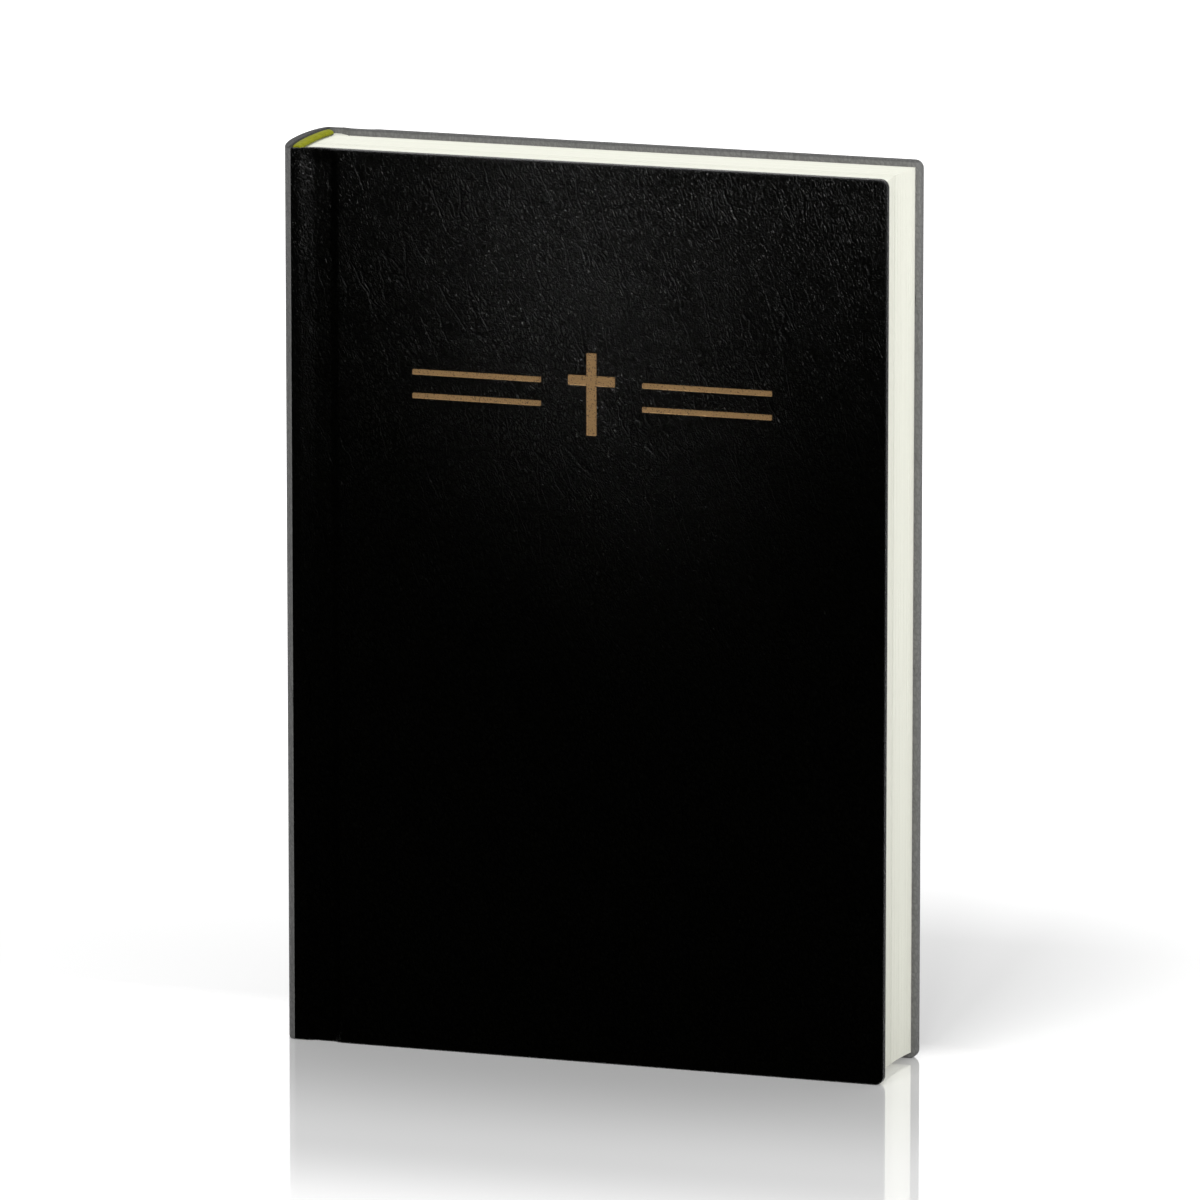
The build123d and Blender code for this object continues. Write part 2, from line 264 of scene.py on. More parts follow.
def paper_finish(name, light, shade, streak, stiff=False, printed=None):
    """Paper: faint fibre clouds on the flat, and where leaves are cut across, fine lines along
    each leaf. The lines are noise stretched along the leaf and squeezed across it. Printed says
    where ink lies."""
    finish, place, shader = new_finish(name, stiff)
    fibre = place.noise(900.0, 4.0)
    lines = place.placed(scale=(40, 9000, 25)).noise(1.0, 4.0, 0.7)
    groups = place.placed(scale=(6, 1500, 4)).noise(1.0, 2.0)
    shade_amount = lines.rise(0.42, 0.85) * streak + groups.rise(0.4, 0.8) * (0.6 * streak)
    tone = shade_amount + fibre.rise(0.3, 0.8) * 0.08
    if printed:
        tone = tone + PRINT_WEIGHT * printed(place)
    feed(shader, "Base Color", tone.colours(light, shade))
    feed(shader, "Roughness", 0.82 - 0.12 * fibre)
    bump(shader, lines + 0.25 * fibre, 0.02 * MM)
    shader.inputs["Specular IOR Level"].default_value = 0.1
    return finish


def wear(piece, finish):
    """Give a piece its finish."""
    piece.data.materials.clear()
    piece.data.materials.append(finish)


def text_block(place):
    """Where a page is printed: two columns of even grey lines, broken into words by noise. The
    strokes stand for small type and are no letters. A line is |fraction(z / pitch) - 1/2|."""
    across, up = place.along(0), place.along(2)
    left = turns_at["section_12"].x + INNER_MARGIN
    right = pages_high.x - OUTER_MARGIN
    middle = (left + right) / 2
    columns = across.rise(left, left + SHARP) * (1 - across.rise(right, right + SHARP))
    columns = columns * (across - middle).maths("ABSOLUTE").rise(COLUMN_GAP, COLUMN_GAP + SHARP)
    columns = columns * up.rise(FOOT, FOOT + SHARP) * (1 - up.rise(TOP, TOP + SHARP))
    line = ((up * (1 / LINE_PITCH)).maths("FRACT") - 0.5).maths("ABSOLUTE")
    strokes = place.placed(scale=(1400, 1, 900)).noise(1.0, 2.0).rise(0.42, 0.58)
    words = place.placed(scale=(330, 1, 417)).noise(1.0, 1.0).rise(0.36, 0.40)
    return columns * (1 - line.rise(0.22, 0.30)) * words * (0.45 + 0.55 * strokes)


pages_finish = paper_finish("cut_pages", PAPER, PAPER_SHADE, 0.48, printed=text_block)


def section_fold(y, across):
    """A section's rounded fold on the rounded back: back_x(y) plus swell * (2 across - 1)^2."""
    return back_x(y) + FOLD_SWELL * np.square(2 * across - 1)


for number in range(1, 25):
    name = f"section_{number:02d}"
    low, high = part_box(name)
    outer, inner = (low.y, high.y) if high.y < 0 else (high.y, low.y)
    trim = chance.uniform(0, 0.03, 3) * MM
    turn_x = turns_at[name].x
    pages = make_piece(
        f"pages_{number:02d}",
        leaf_grids(outer, inner, section_fold, turn_x, STRIPS, NOTCH, trim),
    )
    wear(pages, pages_finish)
    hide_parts(name)
    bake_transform(pages)

# Single leaves at the middle opening, free to fan out. Each keeps its own fold.
for cover, sign in (("front", -1), ("back", 1)):
    for number in (1, 2, 3):
        name = f"{cover}_centre_leaf_{number}"
        low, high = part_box(name)
        outer, inner = (low.y, high.y) if sign < 0 else (high.y, low.y)
        turn_x = turns_at[name].x
        leaf = make_piece(
            f"{cover}_middle_leaf_{number}",
            leaf_grids(outer, inner, section_fold, turn_x, 2, 0.0),
        )
        wear(leaf, pages_finish)
        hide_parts(name)
        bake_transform(leaf)

# ==================================================================== the backed shoulders
# The outermost folds are hammered over when the book is backed. They flare out on both sides
# into a ridge that the covering is pressed over.
front_low, front_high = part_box("front_covering")
SPINE_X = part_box("front_joint_covering")[0].x
BOARD_X = front_low.x
FACE_Y = -front_low.y
SHOULDER = (                     # depth under the face and distance from the spine edge, mm
    (2.95, 1.25),
    (2.2, 0.8),
    (0.95, 0.62),
    (0.66, 0.95),
    (0.66, 2.0),
    (2.3, 4.4),
    (2.95, 4.85),
)


def prism(profile, low_z, high_z):
    """A closed outline in X and Y carried straight up Z: one grid and two caps."""
    ends = [np.insert(profile, 2, z, axis=1) for z in (low_z, high_z)]
    return [(np.stack(ends), True)], ends


for cover, sign in (("front", -1), ("back", 1)):
    depth, from_spine = np.array(SHOULDER).T * MM
    profile = np.stack([SPINE_X + from_spine, sign * (FACE_Y - depth)], axis=1)
    grids, caps = prism(profile, pages_low.z, pages_high.z)
    shoulder = make_piece(f"{cover}_shoulder", grids, caps, crease=60.0)
    wear(shoulder, pages_finish)
    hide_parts("section_folds")
    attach(shoulder, "binding")

# ==================================================================== sewing, mull and linings
# What holds the back together, from the paper outwards: linen thread, glued open mull, kraft
# paper, and the curved card that stiffens the spine of the case.


def woven_finish(name, light, dark, pitch, lift):
    """Plain weave: two sets of threads, sin(x / pitch) and sin(z / pitch), one over the other."""
    finish, place, shader = new_finish(name, stiff=True)
    turn = 2 * math.pi / pitch
    weft = (place.along(2) * turn).maths("SINE")
    warp = (place.along(1) * turn).maths("SINE")
    weave = (weft * warp).rise(-1.0, 1.0)
    fluff = place.noise(4000.0, 3.0)
    feed(shader, "Base Color", (weave * 0.7 + fluff * 0.3).colours(dark, light))
    bump(shader, weave + 0.4 * fluff, lift)
    shader.inputs["Roughness"].default_value = 0.9
    return finish


def dress(node, finish):
    """Give a CAD node that stays in view its finish."""
    part = frame["nodes"][node]
    part.data.materials.clear()
    part.data.materials.append(finish)


mull_finish = woven_finish(
    "starched_mull", (0.74, 0.72, 0.66), (0.45, 0.42, 0.36), pitch=0.9 * MM, lift=0.1 * MM
)
thread_finish = woven_finish(
    "linen_thread", (0.80, 0.78, 0.72), (0.60, 0.57, 0.50), pitch=0.25 * MM, lift=0.03 * MM
)
kraft_finish = paper_finish("kraft_paper", (0.42, 0.29, 0.16), (0.30, 0.19, 0.10), 0.3, stiff=True)
card_finish = paper_finish("manila_card", (0.46, 0.40, 0.30), (0.36, 0.30, 0.22), 0.3, stiff=True)
board_finish = paper_finish("grey_board", (0.33, 0.32, 0.30), (0.24, 0.23, 0.21), 0.4, stiff=True)
for node, finish in (
    ("sewing_thread", thread_finish),
    ("mull", mull_finish),
    ("front_mull_hinge", mull_finish),
    ("back_mull_hinge", mull_finish),
    ("front_mull_flange", mull_finish),
    ("back_mull_flange", mull_finish),
    ("spine_lining", kraft_finish),
    ("spine_stiffener", card_finish),
    ("front_board", board_finish),
    ("back_board", board_finish),
):
    dress(node, finish)

# ==================================================================== head and tail bands
# Olive silk wound round a cord, on a tape that is glued to the back of the block. The cord
# lies on the ends of the pages along their folds.
BEAD = 0.71 * MM                 # half the height of the band
BEAD_DEPTH = 0.75 * MM           # how far it reaches past the spine edge at its ends
CLEAR = 0.02 * MM                # between the band, its tape and the paper
WRAP = 0.5 * MM                  # one turn of silk round it
TAPE = 0.3 * MM
SPINE_LIP = 2.2 * MM             # covering, card and turn-in at the ends of the spine
OLIVE = (0.30, 0.315, 0.006)
OLIVE_DARK = (0.17, 0.18, 0.003)
spine_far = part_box("spine_covering")[0].x


def silk_finish():
    """Silk floss: fine threads across the band, darker between the turns."""
    finish, place, shader = new_finish("olive_silk")
    fine = place.placed(scale=(900, 5200, 900)).noise(1.0, 3.0)
    soft = place.noise(700.0, 2.0)
    lit = (0.75 * fine + 0.35 * soft).rise(0.25, 0.75)
    feed(shader, "Base Color", lit.colours(OLIVE_DARK, OLIVE))
    feed(shader, "Roughness", 0.62 - 0.15 * fine)
    bump(shader, fine, 0.03 * MM)
    shader.inputs["Specular IOR Level"].default_value = 0.1
    shader.inputs["Sheen Weight"].default_value = 0.08
    return finish


silk = silk_finish()


def band_cord(reach, cord_z, turns):
    """A flat cord on the folds that fills the hollow behind them: its far side follows the
    inside of the spine, an ellipse, and its near side half follows the rounded back. Around it
    each ring is an ellipse, swollen a little by cos(turns of silk + angle)."""
    y = np.linspace(-reach, reach, turns * 10 + 1)[:, None]
    bulge = SPINE_X - spine_far - SPINE_LIP - 0.05 * MM
    far = SPINE_X - bulge * np.sqrt(1 - (y / (FACE_Y - SPINE_LIP)) ** 2)
    near = SPINE_X + BEAD_DEPTH + 0.5 * (back_x(y) - back_low)
    around = np.linspace(0, 2 * math.pi, 24, endpoint=False)[None, :]
    silk_turn = y * 2 * math.pi / (2 * reach / turns) + around
    rounded_end = np.sqrt(1 - np.clip((np.abs(y) - reach + 0.8 * MM) / (1.0 * MM), 0, 1) ** 2)
    swell = (0.955 + 0.045 * np.cos(silk_turn)) * rounded_end
    x = (far + near) / 2 + (near - far) / 2 * swell * np.cos(around)
    z = cord_z + BEAD * swell * np.sin(around)
    return np.stack(np.broadcast_arrays(x, y, z), axis=-1)


for band, end in (("head_band", 1), ("tail_band", -1)):
    low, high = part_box(band)
    reach = high.y - 0.1 * MM
    edge_z = pages_high.z if end > 0 else pages_low.z
    cord_z = edge_z + end * (BEAD + CLEAR)
    cord = band_cord(reach, cord_z, round(2 * reach / WRAP))
    arc = math.asin(reach / back_radius)
    along = np.linspace(-arc, arc, 25)[:, None]
    far_z = low.z if end > 0 else high.z
    tape_out = back_radius + CLEAR + TAPE * np.array([0, 1, 1, 0])
    tape_x = back_middle - tape_out * np.cos(along)
    tape_z = np.array([far_z, far_z, cord_z, cord_z])
    tape = np.stack(np.broadcast_arrays(tape_x, tape_out * np.sin(along), tape_z), axis=-1)
    piece = make_piece(
        f"silk_{band}",
        [(cord, True), (tape, True)],
        [cord[0], cord[-1], tape[0], tape[-1]],
        crease=50.0,
    )
    wear(piece, silk)
    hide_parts(band)
    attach(piece, "binding")

# ==================================================================== endpapers
# A folded sheet of heavier paper at each end: one half is pasted to the inside of the cover
# over the turn-ins and the mull, the other is the flyleaf, tipped to the first section.
COVERING = 0.4 * MM
BOARD = 1.8 * MM
PASTEDOWN = 0.15 * MM
FLANGE = 0.2 * MM
FLANGE_WIDTH = 28.0 * MM
TURN_IN = 15.0 * MM
STEP = 0.7 * MM                  # width over which the paper climbs a step
FOLD_X = SPINE_X + 5.1 * MM
book_low, book_high = front_low.z, front_high.z
middle_z = (book_low + book_high) / 2
half_height = (book_high - book_low) / 2
endpaper_finish = paper_finish("endpaper", (0.80, 0.79, 0.71), (0.70, 0.68, 0.60), 0.35)


def soft_step(value, at, width):
    """0 before at, 1 from at + width, and 3t^2 - 2t^3 between them."""
    t = np.clip((value - at) / width, 0, 1)
    return t * t * (3 - 2 * t)


def spread(*stretches):
    """Sorted places along an axis from (start, end, count) stretches, each place once."""
    places = np.concatenate([np.linspace(*stretch) for stretch in stretches])
    return np.unique(np.round(places, 7))


def thin_sheet(top, under):
    """Two grids of the same size, joined by a strip along each of their four edges."""
    rims = [np.stack([top[i], under[i]]) for i in (0, -1)]
    rims += [np.stack([top[:, i], under[:, i]]) for i in (0, -1)]
    return [(grid, False) for grid in (top, under, *rims)]


def first_fold(y, across):
    """The flyleaf starts at the fold of the endpaper."""
    return np.full_like(y, FOLD_X)


def pastedown_depth(x, z):
    """Depth of the pasted sheet: on the turn-ins all round, down on the board inside them, and
    up over the mull along the joint."""
    frame_depth = 2 * COVERING + BOARD + PASTEDOWN
    from_middle = np.abs(z - middle_z)
    window = 1 - soft_step(from_middle, half_height - TURN_IN, STEP)
    window = window * (1 - soft_step(x, front_high.x - TURN_IN, STEP))
    flange = 1 - soft_step(x, BOARD_X + FLANGE_WIDTH, STEP)
    joint = 1 - soft_step(x, BOARD_X, STEP)
    drop = window * (COVERING - flange * FLANGE)
    return frame_depth - drop * (1 - joint) - joint * FLANGE


for cover, sign in (("front", -1), ("back", 1)):
    x_lines = spread(
        (FOLD_X, BOARD_X + STEP, 24),
        (BOARD_X + FLANGE_WIDTH, BOARD_X + FLANGE_WIDTH + STEP, 6),
        (front_high.x - TURN_IN, front_high.x - TURN_IN + STEP, 6),
        (BOARD_X, pages_high.x, 20),
    )
    inset = TURN_IN - (pages_low.z - book_low)
    z_lines = spread(
        (pages_low.z, pages_high.z, 24),
        (pages_low.z + inset - STEP, pages_low.z + inset, 6),
        (pages_high.z - inset, pages_high.z - inset + STEP, 6),
    )
    x, z = np.meshgrid(x_lines, z_lines, indexing="ij")
    depth = pastedown_depth(x, z)
    inside = np.stack([x, sign * (FACE_Y - depth), z], axis=-1)
    outside = np.stack([x, sign * (FACE_Y - depth + PASTEDOWN), z], axis=-1)
    pasted = make_piece(f"{cover}_pasted_endpaper", thin_sheet(inside, outside))
    wear(pasted, endpaper_finish)
    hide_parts(f"{cover}_pastedown", f"{cover}_endpaper_hinge")
    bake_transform(pasted)
    low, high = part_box(f"{cover}_flyleaf")
    outer, inner = (low.y, high.y) if sign < 0 else (high.y, low.y)
    turn_x = turns_at[f"{cover}_flyleaf"].x
    flyleaf = make_piece(
        f"{cover}_free_endpaper", leaf_grids(outer, inner, first_fold, turn_x, 2, 0.0)
    )
    wear(flyleaf, endpaper_finish)
    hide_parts(f"{cover}_flyleaf")
    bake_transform(flyleaf)

# ==================================================================== the covering
# Leather-grained sheet, drawn over the spine, pressed into the joints, and turned in over the
# edges of the boards. The front is black; the spine and the back are grey.
EDGE = 0.5 * MM                  # rounding along the edges of a cover
CORNER = 2.0 * MM
GROOVE = 1.8 * MM
SPINE_BULGE = SPINE_X - spine_far
JOINT_LIP = 2 * COVERING
UNDERSIDE = 2 * COVERING + BOARD     # depth of a turn-in's underside below the face
CUT = 0.2 * MM                   # slope at the cut edge of a turn-in


def groove_depth(x):
    """The French joint: flat ridge, a smooth fall into the groove, and a rise to the board."""
    from_spine = (x - SPINE_X) / MM
    return GROOVE * (soft_step(from_spine, 1.7, 3.9) - soft_step(from_spine, 9.0, 2.9))


def under_depth(x):
    """Underside of the covering at its turn-ins: follows the ridge, then stays level."""
    from_spine = (x - SPINE_X) / MM
    return JOINT_LIP + GROOVE * soft_step(from_spine, 1.7, 3.9)


def ease_groove(x, z):
    """Towards the head and the tail the turn-ins fill the joint: the groove loses this much."""
    from_end = half_height - np.abs(z - middle_z)
    return 0.6 * groove_depth(x) * (1 - soft_step(from_end, 0.0, 4.0 * MM))


def leather_finish(name, tint, worn, gloss, relief, sheen):
    """Embossed leather grain: narrow pebbles that slant down the cover, finer ones between
    them, and broken creases that run the same way; the slant drifts from place to place. It has
    painted shade: its colour is made darker at the head, at the tail and over the spine."""
    finish, place, shader = new_finish(name)
    drift = place.shifted(16.0, 5.0 * MM).shifted(250.0, 0.9 * MM).placed(turn=(0, 0.28, 0))
    pebble = drift.placed(scale=(1, 1, 0.5)).cells(1150.0).rise(0.0, 0.25)
    small = place.shifted(700.0, 0.35 * MM).cells(1700.0).rise(0.0, 0.3)
    broken = place.noise(75.0, 2.0).rise(0.44, 0.58)
    veins = drift.placed(scale=(1, 1, 0.15)).cells(190.0).rise(0.0, 0.043)
    veins = 1 - (1 - veins) * broken
    fine = drift.placed(turn=(0, 0.12, 0)).placed(scale=(1, 1, 0.2)).cells(560.0).rise(0.0, 0.11)
    fine = 1 - (1 - fine) * place.noise(130.0, 2.0).rise(0.48, 0.62)
    patch = place.noise(160.0, 3.0)
    pores = place.noise(5200.0, 2.0)
    height = 0.27 * pebble + 0.21 * small + 0.68 * veins + 0.26 * fine + 0.05 * pores + 0.28 * patch
    from_end = half_height - (place.along(2) - middle_z).maths("ABSOLUTE")
    end = 1 - from_end.rise(0.2 * MM, 0.6 * MM)
    spine = 1 - place.along(0).rise(SPINE_X - 0.2 * MM, SPINE_X + 0.2 * MM)
    # Painted shade: the colour darkens over the spine and at the head and tail rims.
    painted_shade = spine.maths("MAXIMUM", 0.47 * spine, (0.42 + 0.36 * spine) * end)
    colour = (pebble * 0.5 + patch * 0.3 + veins * 0.2).colours(tint, worn)
    darker = [0.2 * shade for shade in tint]
    feed(shader, "Base Color", painted_shade.colours(colour, darker))
    feed(shader, "Roughness", gloss + 0.18 * (1 - pebble) + 0.1 * pores)
    bump(shader, height, relief)
    shader.inputs["Specular IOR Level"].default_value = sheen
    return finish


black_leather = leather_finish(
    "black_leather",
    (0.0002, 0.0002, 0.0001),
    (0.0009, 0.0009, 0.0006),
    gloss=0.22,
    relief=0.31 * MM,
    sheen=0.42,
)
grey_leather = leather_finish(
    "grey_leather",
    (0.135, 0.135, 0.133),
    (0.212, 0.212, 0.207),
    gloss=0.5,
    relief=0.17 * MM,
    sheen=0.25,
)


def wrapped_sheet(outer, inner, z_lines, press):
    """Covering round a stiff cover. The outer and inner surfaces are grids of a curve in X and Y
    carried up Z, with rounded corners at the fore edge; between their borders a rim is carried
    along the head, fore and tail edges: a quarter round, a flat edge and another quarter round.
    A square corner cell (a, b) is rounded as (a sqrt(1 - b^2/2), b sqrt(1 - a^2/2))."""
    radius = CORNER - EDGE
    centre_x = outer[-1, 0] - radius
    centre_z = (z_lines[-1] - z_lines[0]) / 2 - radius
    sheets = []
    for curve in (outer, inner):
        x = np.repeat(curve[:, :1], len(z_lines), axis=1)
        y = np.repeat(curve[:, 1:], len(z_lines), axis=1)
        z = np.repeat(z_lines[None, :], len(curve), axis=0) - middle_z
        a = np.clip((x - centre_x) / radius, 0, 1)
        b = np.clip((np.abs(z) - centre_z) / radius, 0, 1)
        x = np.where(a > 0, centre_x + radius * a * np.sqrt(1 - b * b / 2), x)
        rounded = centre_z + radius * b * np.sqrt(1 - a * a / 2)
        z = np.where(b > 0, np.sign(z) * rounded, z)
        sheets.append(np.stack([x, y, z + middle_z], axis=-1))
    top, under = sheets
    top[..., 1] += press(top[..., 0], top[..., 2])
    border = [np.concatenate([s[:, 0], s[-1, 1:], s[-2::-1, -1]]) for s in (top, under)]
    nearest_x = np.minimum(border[0][:, 0], centre_x)
    nearest_z = middle_z + np.clip(border[0][:, 2] - middle_z, -centre_z, centre_z)
    away = np.stack(
        [border[0][:, 0] - nearest_x, np.zeros(len(nearest_x)), border[0][:, 2] - nearest_z], axis=1
    )
    away /= np.linalg.norm(away, axis=1)[:, None]
    through = border[1] - border[0]
    thickness = np.linalg.norm(through, axis=1)[:, None]
    through = through / thickness
    rounding = np.minimum(EDGE, thickness / 2)
    angle = np.linspace(0, math.pi / 2, 6)[:, None, None]
    first = border[0] + rounding * (away * np.sin(angle) + through * (1 - np.cos(angle)))
    second = border[1] + rounding * (away * np.cos(angle) - through * (1 - np.sin(angle)))
    rim = np.concatenate([first, second])
    seam = np.concatenate([top[0], rim[1:-1, -1], under[0, ::-1], rim[-2:0:-1, 0]])
    return [(top, False), (under, False), (rim, False)], [seam]


def window_drop(x, z):
    """The turn-ins end here: inside them the underside lies on the board."""
    from_middle = np.abs(z - middle_z)
    inside = 1 - soft_step(from_middle, half_height - TURN_IN - CUT, CUT)
    inside = inside * (1 - soft_step(x, front_high.x - TURN_IN - CUT, CUT))
    return COVERING * inside * soft_step(x, BOARD_X, 0.3 * MM)


# The gilt emblem is blocked with a hot die: a plain cross between two pairs of rules, pressed a
# little way into the leather. Upright bars are (low x, high x, low z, high z).
foil_low, foil_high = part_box("front_foil")
emblem_x = (foil_low.x + foil_high.x) / 2
emblem_z = (foil_low.z + foil_high.z) / 2
STROKE = 2.0 * MM
ARM = 11.0 * MM
ARM_RISE = 3.2 * MM
RULE = 31.0 * MM
RULE_WIDTH = 0.9 * MM
RULE_PITCH = 5.6 * MM
DIE_SLOPE = 0.22 * MM
DIE_DEPTH = 0.13 * MM
upright = (emblem_x - STROKE / 2, emblem_x + STROKE / 2, foil_low.z, foil_high.z)
arms_z = emblem_z + ARM_RISE
arms = (emblem_x - ARM / 2, emblem_x + ARM / 2, arms_z - STROKE / 2, arms_z + STROKE / 2)
bars = [upright, arms]
for start in (foil_low.x, foil_high.x - RULE):
    for rule_z in (emblem_z - RULE_PITCH / 2, emblem_z + RULE_PITCH / 2):
        bars.append((start, start + RULE, rule_z - RULE_WIDTH / 2, rule_z + RULE_WIDTH / 2))


def ramp_over(value, low, high):
    """1 from low to high, falling to 0 over the slope of the die outside them."""
    rising = np.clip((value - low) / DIE_SLOPE + 1, 0, 1)
    return rising * np.clip((high - value) / DIE_SLOPE + 1, 0, 1)


def emblem_depth(x, z):
    """Depth pressed by the die: the deepest of its bars."""
    pressed = [ramp_over(x, bar[0], bar[1]) * ramp_over(z, bar[2], bar[3]) for bar in bars]
    return DIE_DEPTH * np.max(pressed, axis=0)


fore_line = front_high.x - EDGE
corner_x = fore_line - (CORNER - EDGE)
low_line, high_line = book_low + EDGE, book_high - EDGE
bar_x = [x for bar in bars for x in (bar[0] - DIE_SLOPE, bar[0], bar[1], bar[1] + DIE_SLOPE)]
bar_z = [z for bar in bars for z in (bar[2] - DIE_SLOPE, bar[2], bar[3], bar[3] + DIE_SLOPE)]
cover_x = spread(
    (SPINE_X, BOARD_X + 1 * MM, 60),
    (BOARD_X + 1 * MM, corner_x, 26),
    (corner_x, fore_line, 7),
    (front_high.x - TURN_IN - CUT, front_high.x - TURN_IN, 2),
)
cover_z = spread(
    (low_line, low_line + CORNER - EDGE, 7),
    (high_line - CORNER + EDGE, high_line, 7),
    (low_line, low_line + 4 * MM, 9),
    (high_line - 4 * MM, high_line, 9),
    (low_line + CORNER - EDGE, high_line - CORNER + EDGE, 40),
    (book_low + TURN_IN, book_low + TURN_IN + CUT, 2),
    (book_high - TURN_IN - CUT, book_high - TURN_IN, 2),
)
front_x = spread(*[(x, x, 1) for x in (*bar_x, *cover_x)])
front_z = spread(*[(z, z, 1) for z in (*bar_z, *cover_z)])


def sheet_with_window(sign, outer, inner, z_lines, press):
    """A wrapped sheet whose underside drops onto the board inside the turn-ins."""
    grids, caps = wrapped_sheet(outer, inner, z_lines, press)
    under = grids[1][0]
    under[..., 1] += sign * window_drop(under[..., 0], under[..., 2])
    return grids, caps


outer = np.stack([front_x, -FACE_Y + groove_depth(front_x)], axis=1)
inner = np.stack([front_x, -FACE_Y + np.minimum(under_depth(front_x), UNDERSIDE)], axis=1)
grids, caps = sheet_with_window(
    -1, outer, inner, front_z, lambda x, z: emblem_depth(x, z) - ease_groove(x, z)
)
front_covering = make_piece("black_front_covering", grids, caps, crease=22.0)
wear(front_covering, black_leather)
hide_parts("front_covering", "front_joint_covering")
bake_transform(front_covering)

# Spine and back in one grey sheet. Round the spine its outside is half an ellipse.
sweep = np.linspace(0, math.pi, 49)[:-1]
lip = JOINT_LIP + (SPINE_LIP - JOINT_LIP) * soft_step(np.sin(sweep), 0.15, 0.3)
spine_outer = np.stack([SPINE_X - SPINE_BULGE * np.sin(sweep), -FACE_Y * np.cos(sweep)], axis=1)
spine_inner = np.stack(
    [SPINE_X - (SPINE_BULGE - lip) * np.sin(sweep), -(FACE_Y - lip) * np.cos(sweep)], axis=1
)
back_outer = np.stack([cover_x, FACE_Y - groove_depth(cover_x)], axis=1)
back_inner = np.stack([cover_x, FACE_Y - np.minimum(under_depth(cover_x), UNDERSIDE)], axis=1)
grids, caps = sheet_with_window(
    1,
    np.concatenate([spine_outer, back_outer]),
    np.concatenate([spine_inner, back_inner]),
    cover_z,
    ease_groove,
)
back_covering = make_piece("grey_back_covering", grids, caps, crease=40.0)
wear(back_covering, grey_leather)
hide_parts("spine_covering", "back_covering", "back_joint_covering")
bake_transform(back_covering)

# ==================================================================== the gilt foil
# Thin metal foil left in the recess of the die. It follows the slopes up to the leather, is
# pitted by the grain under it, and catches the light along its edges.
GILT = (0.42, 0.255, 0.11)
GILT_DARK = (0.12, 0.07, 0.03)
FOIL = 0.01 * MM
FOIL_PROUD = 0.012 * MM          # how far it stands out of the pressed leather


def gilt_finish():
    """Worn foil: matt gold-brown with small dark pits where it missed the grain."""
    finish, place, shader = new_finish("gilt_foil")
    pits = place.shifted(900.0, 0.2 * MM).noise(2600.0, 3.0, 0.6)
    cloud = place.noise(300.0, 3.0)
    bare = pits.rise(0.56, 0.62)
    feed(shader, "Base Color", (bare + 0.25 * cloud).colours(GILT, GILT_DARK))
    feed(shader, "Roughness", 0.36 + 0.3 * bare + 0.1 * cloud)
    feed(shader, "Metallic", 0.55 - 0.5 * bare)
    bump(shader, 0.6 * place.cells(1900.0).rise(0.0, 0.3) - 0.6 * bare, 0.02 * MM)
    return finish


def foil_bar(bar):
    """A bar of foil: flat in the recess, up its slopes, and closed underneath."""
    x = [bar[0] - DIE_SLOPE, bar[0], bar[1], bar[1] + DIE_SLOPE]
    z = [bar[2] - DIE_SLOPE, bar[2], bar[3], bar[3] + DIE_SLOPE]
    x, z = np.meshgrid(x, z, indexing="ij")
    level = np.maximum(-FACE_Y + emblem_depth(x, z) - FOIL_PROUD, -FACE_Y)
    top = np.stack([x, level, z], axis=-1)
    return thin_sheet(top, top + np.array([0, FOIL, 0]))


gilt = gilt_finish()
cross_strips = [
    upright,
    (arms[0], upright[0] - DIE_SLOPE, arms[2], arms[3]),
    (upright[1] + DIE_SLOPE, arms[1], arms[2], arms[3]),
]
strips = [grid for bar in cross_strips + bars[2:] for grid in foil_bar(bar)]
foil = make_piece("gilt_emblem", strips, crease=20.0)
wear(foil, gilt)
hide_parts("front_foil")
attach(foil, "front_cover")

# ==================================================================== table, light and camera
# A pale polished table in a white surround, which mirrors the foot of the book and fades with the
# distance from it. The main light is high in front, a weak one stands at the right, and three
# small lamps over the head of the book only glint in the leather.
TABLE = 12.0
line = np.linspace(-TABLE / 2, TABLE / 2, 3)
x, y = np.meshgrid(line, line, indexing="ij")
table = make_piece("table", [(np.stack([x, y, np.zeros_like(x)], axis=-1), False)])
table_finish, place, shader = new_finish("pale_table")
table.data.materials.append(table_finish)
shader.inputs["Base Color"].default_value = (0.9, 0.9, 0.9, 1)
shader.inputs["Roughness"].default_value = 0.02
shader.inputs["Specular IOR Level"].default_value = 0.0
behind = place.along(1)
nearer = 0.0 - behind
fading = 0.66 - 0.26 * nearer.rise(0.02, 0.10) - 0.40 * nearer.rise(0.10, 0.17)
feed(shader, "Metallic", nearer.rise(-0.03, -0.012) * fading)
away = place.node("ShaderNodeVectorMath", {0: place}, output=1, operation="LENGTH")
# Painted light: the table glows, more so far from the book and behind it, which whitens it and
# fades the book's shadow there.
glow = 0.18 + 0.30 * away.rise(0.12, 0.7) + 0.22 * behind.rise(0.05, 0.30)
feed(shader, "Emission Color", glow)
shader.inputs["Emission Strength"].default_value = 1.0
table.visible_glossy = False

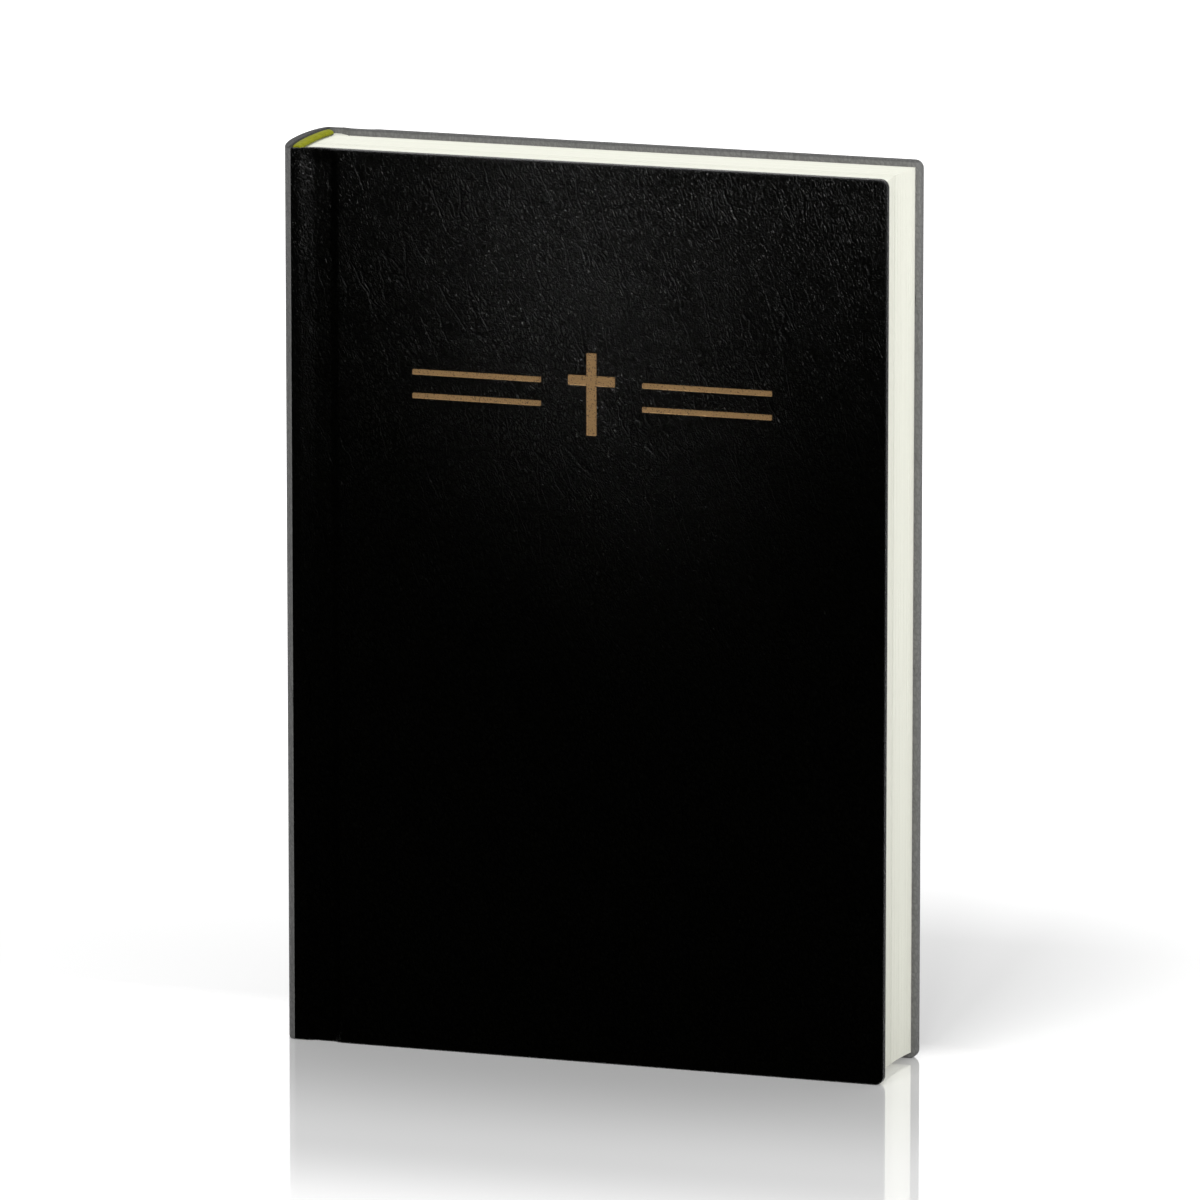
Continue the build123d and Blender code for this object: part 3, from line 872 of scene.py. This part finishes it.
world = bpy.data.worlds.new("surround")
bpy.context.scene.world = world
world.use_nodes = True
world.cycles.sampling_method = "NONE"
tree = world.node_tree
background = tree.nodes["Background"]
background.inputs["Color"].default_value = (1, 1, 1, 1)
paths = Wire(tree)
seen = paths.node("ShaderNodeLightPath")
soft = paths.node("ShaderNodeLightPath", output=2)
shiny = paths.node("ShaderNodeLightPath", output=3)
toward = paths.node("ShaderNodeTexCoord")
toward_x, toward_y = toward.along(0), toward.along(1)
gleam = toward_y.rise(-0.05, 0.3) * (1 - 0.8 * toward_x.rise(0.0, 0.3))
level = seen + soft * (0.64 + 0.28 * toward_x) + shiny * gleam
tree.links.new(level.socket, background.inputs["Strength"])


def lamp(name, place, aim, size, power, glossy=True, diffuse=True, spread=180):
    """A soft square lamp that points at a place."""
    data = bpy.data.lights.new(name, "AREA")
    data.shape = "RECTANGLE"
    data.size, data.size_y = size
    data.energy = power
    data.spread = math.radians(spread)
    light = bpy.data.objects.new(name, data)
    light.location = place
    light.rotation_euler = (Vector(aim) - Vector(place)).to_track_quat("-Z", "Y").to_euler()
    light.visible_camera = False
    light.visible_glossy = glossy
    light.visible_diffuse = diffuse
    bpy.context.scene.collection.objects.link(light)


front_face = (0, 0, 0.1)
head_right = (0.025, -0.015, 0.238)
head_left = (-0.067, -0.015, 0.226)
cover_top = (0.0, -0.015, 0.174)
lamp("front_key", (-0.10, -1.15, 1.85), (0, 0, 0), (0.5, 0.5), 15.6, glossy=False)
lamp("right_fill", (0.5, -2.2, 0.75), front_face, (0.25, 0.25), 8.4, glossy=False)
lamp("right_high", (0.17, -0.19, 0.29), head_right, (0.10, 0.10), 0.024, diffuse=False, spread=36)
lamp("ridge", (0.10, -0.16, 0.28), head_left, (0.03, 0.03), 0.0011, diffuse=False, spread=10)
lamp("left_high", (-0.104, -0.235, 0.41), cover_top, (0.04, 0.04), 0.0042, diffuse=False, spread=14)

camera = bpy.data.objects.new("camera", bpy.data.cameras.new("camera"))
bpy.context.scene.collection.objects.link(camera)
camera.location = (0.9158, -2.7870, 0.7244)
aim = Vector((0.0005, -0.0003, 0.1074))
camera.rotation_euler = (aim - camera.location).to_track_quat("-Z", "Y").to_euler()
camera.data.lens = 386.07
camera.data.sensor_width = 36.0
camera.data.clip_end = 20.0
bpy.context.scene.camera = camera
bpy.context.scene.view_settings.view_transform = "Standard"
